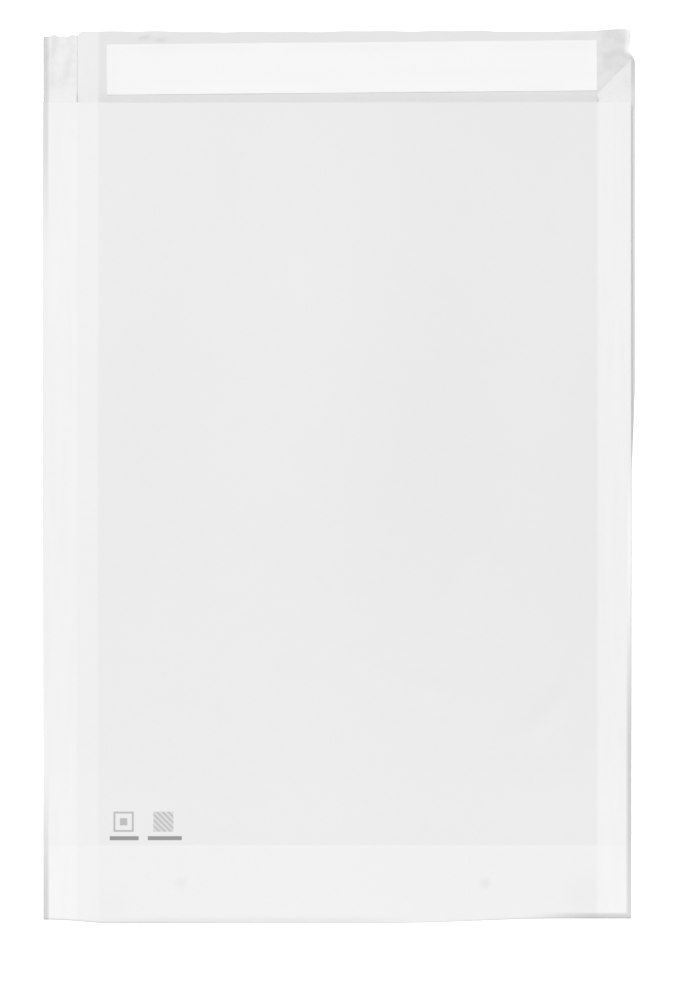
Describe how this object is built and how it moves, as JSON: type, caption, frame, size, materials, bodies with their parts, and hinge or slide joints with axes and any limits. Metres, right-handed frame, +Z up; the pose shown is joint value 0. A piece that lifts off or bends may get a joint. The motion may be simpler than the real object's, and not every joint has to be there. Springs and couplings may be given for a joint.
{
  "type": "paper mailing bag",
  "caption": "Flat white paper mailing bag with side gussets, a folded glued bottom and a sealing flap whose adhesive strip is covered by a release liner.",
  "frame": {"origin": "middle of the bag's outline, on the surface that it lies on", "axes": "+X across the bag, +Y from the folded bottom to the flap, +Z up through the front panel"},
  "size_m": [0.25, 0.38, 0.0076],
  "materials": {
    "white_paper": "thin white machine-finished paper, slightly translucent, matt",
    "adhesive": "tacky pressure-sensitive film",
    "liner_paper": "smooth coated release paper, faint sheen"
  },
  "bodies": {
    "root": {"bag_body": "white_paper", "adhesive_strip": "adhesive", "release_liner": "liner_paper"}
  },
  "joints": []
}
